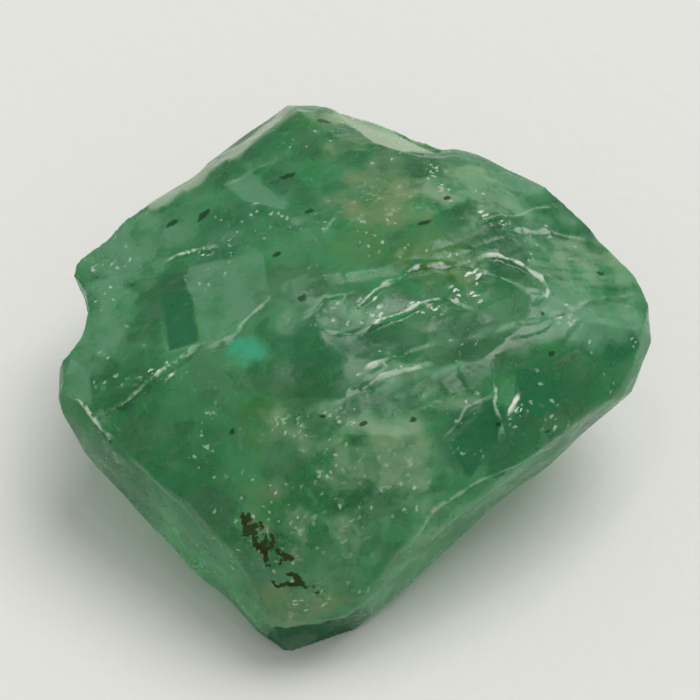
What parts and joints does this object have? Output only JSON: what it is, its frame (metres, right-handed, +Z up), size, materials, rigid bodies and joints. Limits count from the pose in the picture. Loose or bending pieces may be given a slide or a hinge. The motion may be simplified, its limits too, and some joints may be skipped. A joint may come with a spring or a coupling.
{
  "type": "raw emerald crystal",
  "caption": "Rough piece of green beryl, broken on all sides, with a straight bevelled edge, hollow shell-like breaks and a flat resting face.",
  "frame": {"origin": "middle of the crystal's outline, on the surface that it rests on", "axes": "+X along its longest side, +Z up away from the resting face, -Y towards the end that slopes down to a point"},
  "size_m": [0.0178, 0.0162, 0.0081],
  "materials": {
    "emerald": "see-through to milky green, glassy on fresh breaks"
  },
  "bodies": {
    "root": {"emerald_crystal": "emerald"}
  },
  "joints": []
}
